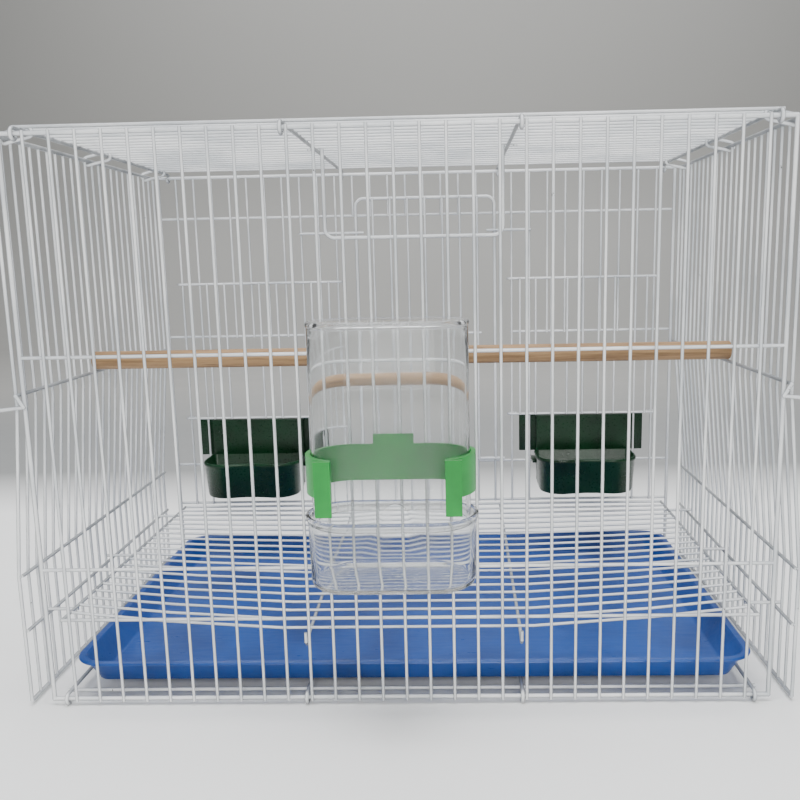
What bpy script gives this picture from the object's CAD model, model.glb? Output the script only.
import math
import random

import bmesh
import bpy
from mathutils import Matrix, Vector


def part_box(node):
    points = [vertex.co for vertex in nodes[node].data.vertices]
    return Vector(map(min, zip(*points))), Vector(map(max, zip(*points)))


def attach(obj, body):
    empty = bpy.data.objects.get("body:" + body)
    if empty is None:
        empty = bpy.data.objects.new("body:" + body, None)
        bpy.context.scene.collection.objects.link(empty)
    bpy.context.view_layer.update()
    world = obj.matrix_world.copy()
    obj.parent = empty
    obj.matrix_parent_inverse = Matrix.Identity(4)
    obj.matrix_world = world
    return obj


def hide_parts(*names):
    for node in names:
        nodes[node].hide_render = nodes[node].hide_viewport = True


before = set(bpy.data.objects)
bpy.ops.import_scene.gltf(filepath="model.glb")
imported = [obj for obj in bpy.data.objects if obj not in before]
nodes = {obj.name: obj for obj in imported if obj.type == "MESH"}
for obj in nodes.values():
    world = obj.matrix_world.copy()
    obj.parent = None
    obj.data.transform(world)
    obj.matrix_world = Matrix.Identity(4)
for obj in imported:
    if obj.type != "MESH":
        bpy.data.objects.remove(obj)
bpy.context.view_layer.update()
scene = bpy.context.scene

# ---------------------------------------------------------------------------
# Coated wire: every panel, door, grid, link and handle
# Drawn steel wire, spot welded and dipped in white epoxy powder. The coat is
# glossy with a faint orange peel, greyer in places and with a few dark chips.
# ---------------------------------------------------------------------------

WIRE_WHITE = "F7F8F8"
WIRE_GREY = "D3D7DA"
WIRE_EDGE = "50565B"
CHIP_STEEL = "2C2B2A"
CLOUD_MM = 55
CHIP_MM = 11
EDGE_CLOUD_MM = 28
PEEL_MM = 0.9


def linear(hex_colour):
    def channel(v):
        return v / 12.92 if v <= 0.04045 else ((v + 0.055) / 1.055) ** 2.4
    return tuple(channel(int(hex_colour[i:i + 2], 16) / 255) for i in (0, 2, 4)) + (1,)


def per_mm(mm):
    """Pattern scale, in repeats per metre, for a feature of this size."""
    return 1000 / mm


def add(mat, kind, values=None, links=None, ramp=None, **settings):
    """Adds a node: settings are its properties, and values and links feed its inputs.

    links is {input: (node, output)}, and ramp is a list of (place, colour) stops.
    """
    tree = mat.node_tree
    made = tree.nodes.new(kind)
    for name, value in settings.items():
        setattr(made, name, value)
    for name, value in (values or {}).items():
        made.inputs[name].default_value = value
    for name, (source, output) in (links or {}).items():
        tree.links.new(source.outputs[output], made.inputs[name])
    if ramp:
        stops = made.color_ramp.elements
        while len(stops) < len(ramp):
            stops.new(0.5)
        for stop, (place, colour) in zip(stops, ramp):
            stop.position = place
            stop.color = colour
    return made


def new_material(name):
    mat = bpy.data.materials.new(name)
    mat.use_nodes = True
    mat.node_tree.nodes.clear()
    return mat


def grey(v):
    return (v, v, v, 1)


# White epoxy powder coat, cured in an oven: glossy, slightly uneven, with rare dark chips.
epoxy_coat = new_material("white_epoxy_coat")
place = add(epoxy_coat, "ShaderNodeTexCoord")
cloud = add(epoxy_coat, "ShaderNodeTexNoise", {"Scale": per_mm(CLOUD_MM), "Detail": 3.0},
            {"Vector": (place, "Object")})
tint = add(epoxy_coat, "ShaderNodeValToRGB", None, {"Fac": (cloud, "Fac")},
           ramp=[(0.35, linear(WIRE_GREY)), (0.62, linear(WIRE_WHITE))])
chips = add(epoxy_coat, "ShaderNodeTexNoise",
            {"Scale": per_mm(CHIP_MM), "Detail": 5.0, "Roughness": 0.7},
            {"Vector": (place, "Object")})
chip_mask = add(epoxy_coat, "ShaderNodeValToRGB", None, {"Fac": (chips, "Fac")},
                ramp=[(0.70, grey(0)), (0.715, grey(1))])
coat_colour = add(epoxy_coat, "ShaderNodeMix", None,
                  {"Factor": (chip_mask, "Color"), "A": (tint, "Color")}, data_type="RGBA")
coat_colour.inputs["B"].default_value = linear(CHIP_STEEL)
# Darker edges, stronger in some places than in others. They follow the viewing angle, in place of
# dark surroundings mirrored in the gloss, so they slide over the wire as the camera moves.
edge_cloud = add(epoxy_coat, "ShaderNodeTexNoise",
                 {"Scale": per_mm(EDGE_CLOUD_MM), "Detail": 5.0, "Roughness": 0.6},
                 {"Vector": (place, "Object")})
facing = add(epoxy_coat, "ShaderNodeLayerWeight", {"Blend": 0.42})
edge_facing = add(epoxy_coat, "ShaderNodeMapRange",
                  {"From Min": 0.08, "From Max": 0.55, "To Min": 0.0, "To Max": 0.9},
                  {"Value": (facing, "Facing")})
edge_patches = add(epoxy_coat, "ShaderNodeMapRange",
                   {"From Min": 0.4, "From Max": 0.7, "To Min": 0.7, "To Max": 1.0},
                   {"Value": (edge_cloud, "Fac")})
edge_amount = add(epoxy_coat, "ShaderNodeMath", None, None, operation="MULTIPLY")
epoxy_coat.node_tree.links.new(edge_facing.outputs["Result"], edge_amount.inputs[0])
epoxy_coat.node_tree.links.new(edge_patches.outputs["Result"], edge_amount.inputs[1])
edge_shaded = add(epoxy_coat, "ShaderNodeMix", None,
                  {"Factor": (edge_amount, "Value"), "A": (coat_colour, "Result")},
                  data_type="RGBA")
edge_shaded.inputs["B"].default_value = linear(WIRE_EDGE)
peel = add(epoxy_coat, "ShaderNodeTexNoise", {"Scale": per_mm(PEEL_MM), "Detail": 2.0},
           {"Vector": (place, "Object")})
peel_bump = add(epoxy_coat, "ShaderNodeBump", {"Strength": 0.12, "Distance": 0.0002},
                {"Height": (peel, "Fac")})
coat_rough = add(epoxy_coat, "ShaderNodeMapRange", {"To Min": 0.24, "To Max": 0.4},
                 {"Value": (cloud, "Fac")})
coat_shader = add(epoxy_coat, "ShaderNodeBsdfPrincipled",
                  {"IOR": 1.5, "Coat Weight": 0.35, "Coat Roughness": 0.12},
                  {"Base Color": (edge_shaded, "Result"), "Roughness": (coat_rough, "Result"),
                   "Normal": (peel_bump, "Normal")})
add(epoxy_coat, "ShaderNodeOutputMaterial", None, {"Surface": (coat_shader, "BSDF")})

WIRE_NODES = ["bottom_frame", "front_panel", "door_border", "left_door_mesh", "centre_door_mesh",
              "right_door_mesh", "door_sill", "door_posts", "door_guides", "top_panel",
              "left_hinge_links", "right_hinge_links", "left_side_panel", "right_side_panel",
              "left_latch_bar", "right_latch_bar", "main_door", "left_feed_door",
              "right_feed_door", "floor_grid", "carry_handle"]


def dress(name, mat):
    obj = nodes[name]
    obj.data.materials.clear()
    obj.data.materials.append(mat)
    for face in obj.data.polygons:
        face.material_index = 0


for name in WIRE_NODES:
    dress(name, epoxy_coat)

# ---------------------------------------------------------------------------
# Weld beads
# Where two wires cross, the spot weld leaves a low bead that the coating
# rounds over. Each bead is a small flattened lump sitting in the crossing.
# ---------------------------------------------------------------------------

MM = 0.001
BEAD = 1.25 * MM
BEAD_LEAST, BEAD_MOST = 0.85, 1.15
BEAD_FLAT = 0.75
SHARP_ANGLE = math.radians(40)


def piece(name, bm, mat, body, smooth=True):
    """Makes a finished mesh piece from a bmesh and lets it ride on a body."""
    mesh = bpy.data.meshes.new(name)
    bm.to_mesh(mesh)
    bm.free()
    for face in mesh.polygons:
        face.use_smooth = smooth
    mesh.set_sharp_from_angle(angle=SHARP_ANGLE)
    obj = bpy.data.objects.new(name, mesh)
    scene.collection.objects.link(obj)
    mesh.materials.append(mat)
    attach(obj, body)
    return obj


def beads(name, points, body, flat):
    """Beads at points; flat is the axis (0, 1 or 2) along which the wires are stacked."""
    rng = random.Random(7)
    bm = bmesh.new()
    for p in points:
        size = [BEAD * rng.uniform(BEAD_LEAST, BEAD_MOST) for _ in range(3)]
        size[flat] *= BEAD_FLAT
        place_bead = Matrix.Translation(p) @ Matrix.Diagonal((*size, 1))
        bmesh.ops.create_icosphere(bm, subdivisions=1, radius=1, matrix=place_bead)
    return piece(name, bm, epoxy_coat, body)


# where the middles of the wires and bars run, as the panels are welded up
HALF_LENGTH_MM = 225
half_w = HALF_LENGTH_MM * MM
half_d = 135 * MM
FRONT_GAPS = 30
FRONT_BARS = (4.4 * MM, 90 * MM, 222 * MM, 350 * MM)
FRONT_WELD_OUT = 1.0 * MM
front_pitch = 2 * half_w / FRONT_GAPS
front_points = [(-half_w + i * front_pitch, -half_d - FRONT_WELD_OUT, z)
                for i in range(1, FRONT_GAPS) for z in FRONT_BARS]
beads("front_weld_beads", front_points, "cage", 1)

# the door panel has a mesh on each side, whose lowest bar is broken at the feed opening
DOOR_BARS = (315, 211)
SILL_BAR = 56
FEED_OPENING = range(3, 8)
DOOR_WELD_OUT = 0.9 * MM
LEFT_MESH, RIGHT_MESH = (10, 70, -1), (9, 84, 1)  # gaps, inner edge in mm from the middle, side
door_points = []
for gaps, inner_edge, s in (LEFT_MESH, RIGHT_MESH):
    pitch = (HALF_LENGTH_MM - inner_edge) / gaps * MM
    for k in range(1, gaps + 1):
        for z in DOOR_BARS + (() if k in FEED_OPENING else (SILL_BAR,)):
            door_points.append((s * (half_w - k * pitch), half_d + DOOR_WELD_OUT, z * MM))
beads("door_weld_beads", door_points, "cage", 1)

SIDE_GAPS = 23
SIDE_BARS = ((228.9, 200), (238.9, 86), (238.9, 50))  # mm out from the middle, and height
side_pitch = 2 * half_d / SIDE_GAPS
for side, s in (("left", -1), ("right", 1)):
    points = [(s * x * MM, -half_d + k * side_pitch, z * MM)
              for k in range(SIDE_GAPS + 1) for x, z in SIDE_BARS]
    beads(side + "_weld_beads", points, side + "_side", 0)

# ---------------------------------------------------------------------------
# Litter tray
# One sheet of blue polypropylene, moulded with leaning walls, wide rounded
# corners and a flat rim with a rolled edge. It slides in under the floor grid.
# ---------------------------------------------------------------------------

TRAY_BLUE = "164C9C"
TRAY_DEEP = "0F387A"

# Moulded polypropylene: satin, faint flow mottling, fine scuffs from cleaning.
blue_pp = new_material("blue_moulded_polypropylene")
place = add(blue_pp, "ShaderNodeTexCoord")
mottle = add(blue_pp, "ShaderNodeTexNoise", {"Scale": per_mm(60), "Detail": 4.0},
             {"Vector": (place, "Object")})
blue = add(blue_pp, "ShaderNodeValToRGB", None, {"Fac": (mottle, "Fac")},
           ramp=[(0.3, linear(TRAY_DEEP)), (0.6, linear(TRAY_BLUE))])
stretch = add(blue_pp, "ShaderNodeMapping", {"Scale": (0.15, 1.0, 1.0)},
              {"Vector": (place, "Object")})
scuff = add(blue_pp, "ShaderNodeTexNoise", {"Scale": per_mm(3), "Detail": 6.0, "Roughness": 0.7},
            {"Vector": (stretch, "Vector")})
blue_rough = add(blue_pp, "ShaderNodeMapRange",
                 {"From Min": 0.3, "From Max": 0.7, "To Min": 0.26, "To Max": 0.44},
                 {"Value": (scuff, "Fac")})
blue_bump = add(blue_pp, "ShaderNodeBump", {"Strength": 0.08, "Distance": 0.0004},
                {"Height": (scuff, "Fac")})
blue_shader = add(blue_pp, "ShaderNodeBsdfPrincipled", {"IOR": 1.49, "Subsurface Weight": 0.03},
                  {"Base Color": (blue, "Color"), "Roughness": (blue_rough, "Result"),
                   "Normal": (blue_bump, "Normal")})
add(blue_pp, "ShaderNodeOutputMaterial", None, {"Surface": (blue_shader, "BSDF")})


TURN_STEP = 9
LEAST_STEPS = 3
MERGE_WITHIN = 0.002 * MM


def wrap(bm, section, legs):
    """Sweeps a section round an outline and closes it.

    A leg is a turn (centre, degrees) or a straight run (None, vector).
    """
    verts = [bm.verts.new(p) for p in section]
    last = verts + [bm.edges.new(pair) for pair in zip(verts, verts[1:])]
    for centre, amount in legs:
        if centre is None:
            made = bmesh.ops.spin(bm, geom=last, cent=(0, 0, 0), axis=(0, 0, 1), dvec=(*amount, 0),
                                  angle=0, steps=1)
        else:
            made = bmesh.ops.spin(bm, geom=last, cent=(*centre, 0), axis=(0, 0, 1),
                                  angle=math.radians(amount),
                                  steps=max(LEAST_STEPS, round(abs(amount) / TURN_STEP)))
        last = made["geom_last"]
    bmesh.ops.remove_doubles(bm, verts=bm.verts, dist=MERGE_WITHIN)
    bmesh.ops.holes_fill(bm, edges=[e for e in bm.edges if e.is_boundary], sides=0)
    bmesh.ops.recalc_face_normals(bm, faces=bm.faces)


low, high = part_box("tray")
mid = ((low.x + high.x) / 2, (low.y + high.y) / 2)
corner = 20 * MM
run_x = high.x - low.x - 2 * corner
run_y = high.y - low.y - 2 * corner
# from the underside out, up, over the rim and down to the floor: inset and height in mm
tray_section = [(14.0, 0.0), (12.7, 0.2), (12.0, 1.0), (4.4, 14.0), (3.9, 14.8), (1.0, 15.0),
                (0.3, 15.3), (0.0, 15.9), (0.3, 16.6), (0.9, 17.0), (4.6, 16.9), (5.3, 16.2),
                (5.9, 15.0), (13.8, 3.0), (14.6, 2.2), (15.8, 2.0)]
bm = bmesh.new()
front_right = (mid[0] + run_x / 2, mid[1] - run_y / 2)
back_right = (mid[0] + run_x / 2, mid[1] + run_y / 2)
back_left = (mid[0] - run_x / 2, mid[1] + run_y / 2)
front_left = (mid[0] - run_x / 2, mid[1] - run_y / 2)
wrap(bm, [(front_right[0], low.y + inset * MM, low.z + z * MM) for inset, z in tray_section],
     [(front_right, 90), (None, (0, run_y)), (back_right, 90), (None, (-run_x, 0)),
      (back_left, 90), (None, (0, -run_y)), (front_left, 90), (None, (run_x, 0))])
tray = piece("litter_tray", bm, blue_pp, "tray")
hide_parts("tray")

# ---------------------------------------------------------------------------
# Perch
# A turned beech dowel with lightly eased ends, resting on the latch bars.
# The grain runs along it.
# ---------------------------------------------------------------------------

BEECH_LIGHT = "A5835B"
BEECH_DARK = "765939"
BEECH_PORE = "4E3723"
PERCH_EASE = 0.8 * MM
SAME_PLACE = 1e-6

# Sawn beech, turned and lightly sanded: matt, long fine grain, short dark flecks.
beech = new_material("sanded_beech")
place = add(beech, "ShaderNodeTexCoord")
along = add(beech, "ShaderNodeMapping", {"Scale": (0.05, 1.0, 1.0)}, {"Vector": (place, "Object")})
grain = add(beech, "ShaderNodeTexNoise", {"Scale": per_mm(3.2), "Detail": 6.0, "Roughness": 0.65},
            {"Vector": (along, "Vector")})
wood_colour = add(beech, "ShaderNodeValToRGB", None, {"Fac": (grain, "Fac")},
                  ramp=[(0.32, linear(BEECH_DARK)), (0.58, linear(BEECH_LIGHT))])
flecks = add(beech, "ShaderNodeTexNoise", {"Scale": per_mm(1.1), "Detail": 3.0},
             {"Vector": (along, "Vector")})
fleck_mask = add(beech, "ShaderNodeValToRGB", None, {"Fac": (flecks, "Fac")},
                 ramp=[(0.62, grey(0)), (0.74, grey(0.6))])
wood_mix = add(beech, "ShaderNodeMix", None,
               {"Factor": (fleck_mask, "Color"), "A": (wood_colour, "Color")}, data_type="RGBA")
wood_mix.inputs["B"].default_value = linear(BEECH_PORE)
wood_bump = add(beech, "ShaderNodeBump", {"Strength": 0.25, "Distance": 0.0003},
                {"Height": (grain, "Fac")})
wood_shader = add(beech, "ShaderNodeBsdfPrincipled", {"Roughness": 0.62, "IOR": 1.5},
                  {"Base Color": (wood_mix, "Result"), "Normal": (wood_bump, "Normal")})
add(beech, "ShaderNodeOutputMaterial", None, {"Surface": (wood_shader, "BSDF")})

low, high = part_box("perch")
centre = (low + high) / 2
perch_r = (high.z - low.z) / 2
perch_length = high.x - low.x
bm = bmesh.new()
bmesh.ops.create_cone(bm, cap_ends=True, segments=40, radius1=perch_r, radius2=perch_r,
                      depth=perch_length,
                      matrix=Matrix.Translation(centre) @ Matrix.Rotation(math.pi / 2, 4, "Y"))
rims = [e for e in bm.edges
        if abs(abs(e.verts[0].co.x - centre.x) - perch_length / 2) < SAME_PLACE
        and abs(e.verts[0].co.x - e.verts[1].co.x) < SAME_PLACE]
bmesh.ops.bevel(bm, geom=rims, offset=PERCH_EASE, offset_type="OFFSET", segments=3, profile=0.5,
                affect="EDGES", material=-1)
dowel = piece("perch_dowel", bm, beech, "perch")
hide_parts("perch")

# ---------------------------------------------------------------------------
# Feed cups
# Two dark green polystyrene cups. Each has a flat back plate outside the door
# panel and a body with two round lobes that stands inside the cage.
# ---------------------------------------------------------------------------

CUP_GREEN = "02200D"
CUP_LIGHT = "06351B"

# Moulded polystyrene: deep green, glossy, with slight colour drift and fine wear.
green_ps = new_material("green_moulded_polystyrene")
place = add(green_ps, "ShaderNodeTexCoord")
drift = add(green_ps, "ShaderNodeTexNoise", {"Scale": per_mm(30), "Detail": 3.0},
            {"Vector": (place, "Object")})
green = add(green_ps, "ShaderNodeValToRGB", None, {"Fac": (drift, "Fac")},
            ramp=[(0.3, linear(CUP_GREEN)), (0.7, linear(CUP_LIGHT))])
wear = add(green_ps, "ShaderNodeTexNoise", {"Scale": per_mm(1.5), "Detail": 5.0},
           {"Vector": (place, "Object")})
green_rough = add(green_ps, "ShaderNodeMapRange",
                  {"From Min": 0.3, "From Max": 0.7, "To Min": 0.24, "To Max": 0.4},
                  {"Value": (wear, "Fac")})
green_bump = add(green_ps, "ShaderNodeBump", {"Strength": 0.05, "Distance": 0.0003},
                 {"Height": (wear, "Fac")})
green_shader = add(green_ps, "ShaderNodeBsdfPrincipled", {"IOR": 1.5, "Specular IOR Level": 0.35},
                   {"Base Color": (green, "Color"), "Roughness": (green_rough, "Result"),
                    "Normal": (green_bump, "Normal")})
add(green_ps, "ShaderNodeOutputMaterial", None, {"Surface": (green_shader, "BSDF")})


LOBE = 21.75 * MM
WAIST = 50 * MM
BACK_CORNER = 5 * MM
CUP_DEPTH = 48 * MM
# from the foot up the outside, over the rolled rim and down to the floor: inset, height in mm
CUP_SECTION = [(4.6, 0.0), (3.4, 0.5), (2.7, 2.2), (0.8, 27.5), (0.2, 28.2), (0.0, 29.0),
               (0.1, 30.3), (0.7, 31.0), (1.9, 31.0), (2.4, 30.3), (4.0, 4.0), (4.5, 2.6),
               (4.9, 2.2)]
WALL_HALF, WALL_UP = 41 * MM, 3 * MM
WALL_FROM, WALL_TO = 2 * MM, 0.2 * MM
LEDGE_FROM, LEDGE_THICK = 1.9 * MM, 2 * MM
RAIL_OUT, RAIL_HALF, RAIL_FROM = 43.5 * MM, 1.9 * MM, 14 * MM
RAIL_LOW, RAIL_TOP = 21.5 * MM, 23.9 * MM
PLATE_HALF, PLATE_TALL, PLATE_THICK = 56 * MM, 34 * MM, 2.2 * MM
PLATE_JOIN = 0.6 * MM
CUP_EASE, PLATE_EASE = 0.5 * MM, 0.9 * MM


def block(bm, a, b, r):
    """Box between corners a and b with its edges rounded by r."""
    size = [b[i] - a[i] for i in range(3)]
    mid_point = [(b[i] + a[i]) / 2 for i in range(3)]
    made = bmesh.ops.create_cube(bm, size=1, matrix=Matrix.Translation(mid_point)
                                 @ Matrix.Diagonal((*size, 1)))
    edges = list({e for v in made["verts"] for e in v.link_edges})
    bmesh.ops.bevel(bm, geom=edges, offset=r, offset_type="OFFSET", segments=4, profile=0.5,
                    affect="EDGES", material=-1)


for side in ("left", "right"):
    low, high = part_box(side + "_cup")
    x = (low.x + high.x) / 2
    body_back = low.y + CUP_DEPTH
    # outline: two lobes in front, a soft waist between them, straight sides, small corners behind
    lobe_y = low.y + LOBE
    waist_y = lobe_y - math.sqrt((LOBE + WAIST) ** 2 - LOBE ** 2)
    swing = math.degrees(math.atan2(lobe_y - waist_y, LOBE))
    side_run = body_back - BACK_CORNER - lobe_y
    corner_y = body_back - BACK_CORNER
    bm = bmesh.new()
    wrap(bm, [(x + 2 * LOBE - inset * MM, lobe_y, low.z + z * MM) for inset, z in CUP_SECTION],
         [(None, (0, side_run)), ((x + 2 * LOBE - BACK_CORNER, corner_y), 90),
          (None, (2 * BACK_CORNER - 4 * LOBE, 0)), ((x - 2 * LOBE + BACK_CORNER, corner_y), 90),
          (None, (0, -side_run)), ((x - LOBE, lobe_y), 180 - swing),
          ((x, waist_y), 2 * swing - 180), ((x + LOBE, lobe_y), 180 - swing)])
    bodyshell = piece(side + "_cup_shell", bm, green_ps, side + "_cup")

    # back wall, ledge, the two side rails and the outer plate, all with eased edges
    bm = bmesh.new()
    plate_y0 = high.y - PLATE_THICK
    ledge_y1 = plate_y0 + PLATE_JOIN
    block(bm, (x - WALL_HALF, body_back - WALL_FROM, low.z + WALL_UP),
          (x + WALL_HALF, body_back - WALL_TO, high.z), CUP_EASE)
    block(bm, (x - WALL_HALF, body_back - LEDGE_FROM, high.z - LEDGE_THICK),
          (x + WALL_HALF, ledge_y1, high.z), CUP_EASE)
    for s in (-1, 1):
        rail_x = x + s * RAIL_OUT
        block(bm, (rail_x - RAIL_HALF, body_back - RAIL_FROM, low.z + RAIL_LOW),
              (rail_x + RAIL_HALF, ledge_y1, low.z + RAIL_TOP), CUP_EASE)
    block(bm, (x - PLATE_HALF, plate_y0, high.z - PLATE_TALL),
          (x + PLATE_HALF, high.y, high.z), PLATE_EASE)
    piece(side + "_cup_plate", bm, green_ps, side + "_cup", smooth=False)
    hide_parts(side + "_cup")

# ---------------------------------------------------------------------------
# Hopper bottle and base
# Clear polystyrene. The bottle is closed on top, with a thick rim there, and
# its open foot stands in the base. The base has a wide lip and an arched way in.
# ---------------------------------------------------------------------------

CLEAR_TINT = "FBFCFC"
BOTTLE_WIDTH, BOTTLE_DEPTH = 90 * MM, 46 * MM
BASE_WIDTH, BASE_DEPTH = 97 * MM, 50 * MM
WAY_IN_R, WAY_IN_UP = 8 * MM, 31 * MM
THRESHOLD_UP = 20 * MM
THRESHOLD_SIZE = (16 * MM, 8.2 * MM, 22 * MM)
CUT_DEPTH = 8 * MM
CUT_INSET = 2.5 * MM

# Injection moulded clear polystyrene: bright edges, light flow streaks and handling haze.
# The IOR is set by eye, well under polystyrene's 1.59.
clear_ps = new_material("clear_moulded_polystyrene")
place = add(clear_ps, "ShaderNodeTexCoord")
streak_map = add(clear_ps, "ShaderNodeMapping", {"Scale": (1.0, 1.0, 0.12)},
                 {"Vector": (place, "Object")})
streaks = add(clear_ps, "ShaderNodeTexNoise", {"Scale": per_mm(9), "Detail": 4.0},
              {"Vector": (streak_map, "Vector")})
clear_rough = add(clear_ps, "ShaderNodeMapRange",
                  {"From Min": 0.35, "From Max": 0.75, "To Min": 0.015, "To Max": 0.12},
                  {"Value": (streaks, "Fac")})
clear_bump = add(clear_ps, "ShaderNodeBump", {"Strength": 0.12, "Distance": 0.0006},
                 {"Height": (streaks, "Fac")})
clear_shader = add(clear_ps, "ShaderNodeBsdfPrincipled",
                   {"Base Color": linear(CLEAR_TINT), "Transmission Weight": 0.985, "IOR": 1.22},
                   {"Roughness": (clear_rough, "Result"), "Normal": (clear_bump, "Normal")})
add(clear_ps, "ShaderNodeOutputMaterial", None, {"Surface": (clear_shader, "BSDF")})


def stadium_shell(bm, centre, width, depth, foot_z, section):
    """Shell round two half circles joined by straight runs; section gives outset and height."""
    r = depth / 2
    half_run = width / 2 - r
    right, left = (centre[0] + half_run, centre[1]), (centre[0] - half_run, centre[1])
    wrap(bm, [(right[0], centre[1] - r - outset * MM, foot_z + z * MM) for outset, z in section],
         [(right, 180), (None, (-2 * half_run, 0)), (left, 180), (None, (2 * half_run, 0))])


low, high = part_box("hopper_bottle")
hop = ((low.x + high.x) / 2, (low.y + high.y) / 2)
tall = (high.z - low.z) / MM
bm = bmesh.new()
# from the closed top out over the rim, down the wall, round the open foot and up inside
stadium_shell(bm, hop, BOTTLE_WIDTH, BOTTLE_DEPTH, low.z,
              [(-4.0, tall), (-1.4, tall), (-0.5, tall - 0.3), (0.2, tall - 1.2),
               (0.3, tall - 2.0), (0.2, tall - 2.8), (-0.2, tall - 3.3), (-0.2, 60), (0.0, 12),
               (0.0, 0.5), (-0.5, 0.0), (-1.1, 0.0), (-1.6, 0.5), (-1.7, 12), (-1.8, tall - 4.6),
               (-2.4, tall - 2.6), (-4.2, tall - 1.7)])
bottle = piece("hopper_bottle_shell", bm, clear_ps, "hopper_bottle")
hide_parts("hopper_bottle")

low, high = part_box("hopper_base")
tall = (high.z - low.z) / MM
bm = bmesh.new()
stadium_shell(bm, hop, BASE_WIDTH, BASE_DEPTH, low.z,
              [(-4.2, 0.0), (-2.4, 0.2), (-1.5, 1.0), (-1.1, 3.0), (-0.4, tall - 6.0),
               (0.0, tall - 4.0), (0.5, tall - 2.9), (0.8, tall - 2.3), (0.8, tall - 0.6),
               (0.3, tall), (-0.9, tall), (-1.5, tall - 0.6), (-1.7, tall - 3.0), (-2.6, 4.0),
               (-3.4, 2.4), (-4.8, 1.9)])
base = piece("hopper_base_shell", bm, clear_ps, "hopper_base")

# arched way in through the back wall, cut from the shell
bm = bmesh.new()
back_y = high.y - CUT_INSET
arch = (Matrix.Translation((hop[0], back_y, low.z + WAY_IN_UP))
        @ Matrix.Rotation(math.pi / 2, 4, "X"))
bmesh.ops.create_cone(bm, cap_ends=True, segments=48, radius1=WAY_IN_R, radius2=WAY_IN_R,
                      depth=CUT_DEPTH, matrix=arch)
way_in = bpy.data.meshes.new("way_in")
bm.to_mesh(way_in)
bm.free()
bm = bmesh.new()
bmesh.ops.create_cube(bm, size=1, matrix=Matrix.Translation((hop[0], back_y, low.z + THRESHOLD_UP))
                      @ Matrix.Diagonal((*THRESHOLD_SIZE, 1)))
threshold = bpy.data.meshes.new("threshold")
bm.to_mesh(threshold)
bm.free()
for cutter_mesh in (way_in, threshold):
    cutter = bpy.data.objects.new(cutter_mesh.name, cutter_mesh)
    scene.collection.objects.link(cutter)
    cut = base.modifiers.new("way_in", "BOOLEAN")
    cut.operation = "DIFFERENCE"
    cut.solver = "EXACT"
    cut.object = cutter
    bpy.context.view_layer.update()
    cut_base = base.evaluated_get(bpy.context.evaluated_depsgraph_get())
    shaped = bpy.data.meshes.new_from_object(cut_base)
    base.modifiers.clear()
    base.data = shaped
    bpy.data.objects.remove(cutter)
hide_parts("hopper_base")

# ---------------------------------------------------------------------------
# Hopper clip
# One bright green polypropylene moulding: a band round the bottle with two
# tabs in front and a hook behind that turns in between two panel wires.
# ---------------------------------------------------------------------------

CLIP_GREEN = "0C9A3A"
CLIP_SHADE = "088330"

# Moulded polypropylene, thin: a little light passes through it, satin gloss.
green_pp = new_material("green_moulded_polypropylene")
place = add(green_pp, "ShaderNodeTexCoord")
flow = add(green_pp, "ShaderNodeTexNoise", {"Scale": per_mm(22), "Detail": 3.0},
           {"Vector": (place, "Object")})
clip_colour = add(green_pp, "ShaderNodeValToRGB", None, {"Fac": (flow, "Fac")},
                  ramp=[(0.3, linear(CLIP_SHADE)), (0.65, linear(CLIP_GREEN))])
fine = add(green_pp, "ShaderNodeTexNoise", {"Scale": per_mm(1.2), "Detail": 4.0},
           {"Vector": (place, "Object")})
clip_bump = add(green_pp, "ShaderNodeBump", {"Strength": 0.06, "Distance": 0.0003},
                {"Height": (fine, "Fac")})
clip_rough = add(green_pp, "ShaderNodeMapRange", {"To Min": 0.25, "To Max": 0.42},
                 {"Value": (fine, "Fac")})
clip_shader = add(green_pp, "ShaderNodeBsdfPrincipled",
                  {"IOR": 1.49, "Subsurface Weight": 0.2,
                   "Subsurface Radius": (0.003, 0.008, 0.004)},
                  {"Base Color": (clip_colour, "Color"), "Roughness": (clip_rough, "Result"),
                   "Normal": (clip_bump, "Normal")})
add(green_pp, "ShaderNodeOutputMaterial", None, {"Surface": (clip_shader, "BSDF")})

dress("hopper_clip", green_pp)

# ---------------------------------------------------------------------------
# Table, wall, light and camera
# A plain pale board that runs far back and curves up into a wall, lit by large
# soft lights. Its own colour turns from white to grey behind the cage.
# ---------------------------------------------------------------------------

TABLE_WHITE = "FBFBF9"
BACK_GREY = "909190"
WALL_GREY = "A3A29E"
GREY_FROM, GREY_TO = 0.3, 1.3
HALF_SPAN = 3.2
TABLE_FRONT = -2.6
CURVE_FROM, CURVE_R = 2.2, 0.8
WALL_Y, WALL_TOP = 3.0, 3.4

# Satin painted board: white round the cage and grey from there back, slightly uneven gloss.
board = new_material("painted_board")
place = add(board, "ShaderNodeTexCoord")
rise = add(board, "ShaderNodeSeparateXYZ", None, {"Vector": (place, "Object")})
back_from = add(board, "ShaderNodeMapRange", {"From Min": GREY_FROM, "From Max": GREY_TO},
                {"Value": (rise, "Y")})
shade = add(board, "ShaderNodeValToRGB", None, {"Fac": (back_from, "Result")},
            ramp=[(0.0, linear(TABLE_WHITE)), (0.2, linear(BACK_GREY)), (0.5, linear(BACK_GREY)),
                  (1.0, linear(WALL_GREY))])
board_rough = add(board, "ShaderNodeTexNoise", {"Scale": 12.0}, {"Vector": (place, "Object")})
board_range = add(board, "ShaderNodeMapRange", {"To Min": 0.4, "To Max": 0.55},
                  {"Value": (board_rough, "Fac")})
board_shader = add(board, "ShaderNodeBsdfPrincipled", {"Specular IOR Level": 0.35},
                   {"Base Color": (shade, "Color"), "Roughness": (board_range, "Result")})
add(board, "ShaderNodeOutputMaterial", None, {"Surface": (board_shader, "BSDF")})

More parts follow.
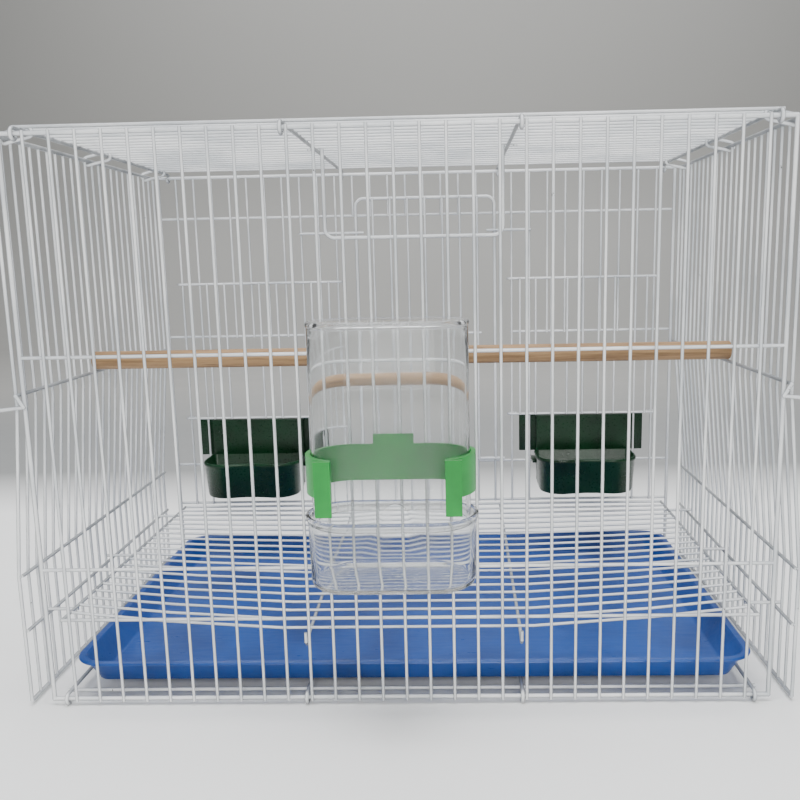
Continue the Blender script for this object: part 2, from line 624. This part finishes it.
bm = bmesh.new()
path = [(TABLE_FRONT, 0.0), (CURVE_FROM, 0.0)]
path += [(CURVE_FROM + CURVE_R * math.sin(math.radians(a)),
          CURVE_R - CURVE_R * math.cos(math.radians(a))) for a in range(6, 91, 6)]
path += [(WALL_Y, WALL_TOP)]
cross = [bm.verts.new((-HALF_SPAN, y, z)) for y, z in path]
edges = [bm.edges.new(pair) for pair in zip(cross, cross[1:])]
wide = bmesh.ops.extrude_edge_only(bm, edges=edges)
bmesh.ops.translate(bm, vec=(2 * HALF_SPAN, 0, 0),
                    verts=[v for v in wide["geom"] if isinstance(v, bmesh.types.BMVert)])
bmesh.ops.recalc_face_normals(bm, faces=bm.faces)
mesh = bpy.data.meshes.new("table_and_wall")
bm.to_mesh(mesh)
bm.free()
for face in mesh.polygons:
    face.use_smooth = True
if mesh.polygons[0].normal.z < 0:
    mesh.flip_normals()
backdrop = bpy.data.objects.new("table_and_wall", mesh)
scene.collection.objects.link(backdrop)
mesh.materials.append(board)


def soft_light(name, where, towards, size, power, colour="FFFFFF"):
    lamp = bpy.data.lights.new(name, "AREA")
    lamp.shape = "RECTANGLE"
    lamp.size, lamp.size_y = size
    lamp.energy = power
    lamp.color = linear(colour)[:3]
    obj = bpy.data.objects.new(name, lamp)
    obj.location = where
    obj.rotation_euler = (Vector(towards) - Vector(where)).to_track_quat("-Z", "Y").to_euler()
    scene.collection.objects.link(obj)


soft_light("ceiling_panel", (0.0, -0.25, 1.9), (0, 0.0, 0.1), (1.8, 1.2), 50, "FBFCFF")
soft_light("front_window", (0.25, -2.3, 1.2), (0, 0, 0.15), (1.3, 0.9), 34, "FFFEFB")
soft_light("wall_panel", (0.0, 1.9, 2.3), (0, 1.9, 0), (3.2, 1.2), 60, "FBFCFF")
soft_light("left_window", (-1.8, -0.7, 0.9), (0, 0, 0.2), (0.6, 1.0), 5, "F6FAFF")
soft_light("right_window", (1.8, -0.7, 0.9), (0, 0, 0.2), (0.6, 1.0), 3, "FFFDF8")

world = bpy.data.worlds.new("room")
scene.world = world
world.use_nodes = True
world.node_tree.nodes["Background"].inputs["Color"].default_value = linear("E4E7EA")
world.node_tree.nodes["Background"].inputs["Strength"].default_value = 0.24

IMAGE_WIDTH = 800
FOCAL = 863.3
CAMERA_AT = (0.0334, -0.6394, 0.2736)
CAMERA_TURN = (1.566, 10.011, -1.131)  # yaw, pitch and roll in degrees
lens = bpy.data.cameras.new("camera")
lens.sensor_width = 36
lens.lens = FOCAL / IMAGE_WIDTH * lens.sensor_width
lens.shift_x = -0.0413
lens.shift_y = 0.0180
lens.clip_start = 0.01
camera = bpy.data.objects.new("camera", lens)
yaw, pitch, roll = (math.radians(a) for a in CAMERA_TURN)
ahead = Vector((-math.sin(yaw) * math.cos(pitch), math.cos(yaw) * math.cos(pitch),
                -math.sin(pitch)))
right = Vector((math.cos(yaw), math.sin(yaw), 0))
above = right.cross(ahead)
turned_right = right * math.cos(roll) + above * math.sin(roll)
turned_up = above * math.cos(roll) - right * math.sin(roll)
pose = Matrix((turned_right, turned_up, -ahead)).transposed().to_4x4()
camera.matrix_world = Matrix.Translation(CAMERA_AT) @ pose
scene.collection.objects.link(camera)
scene.camera = camera
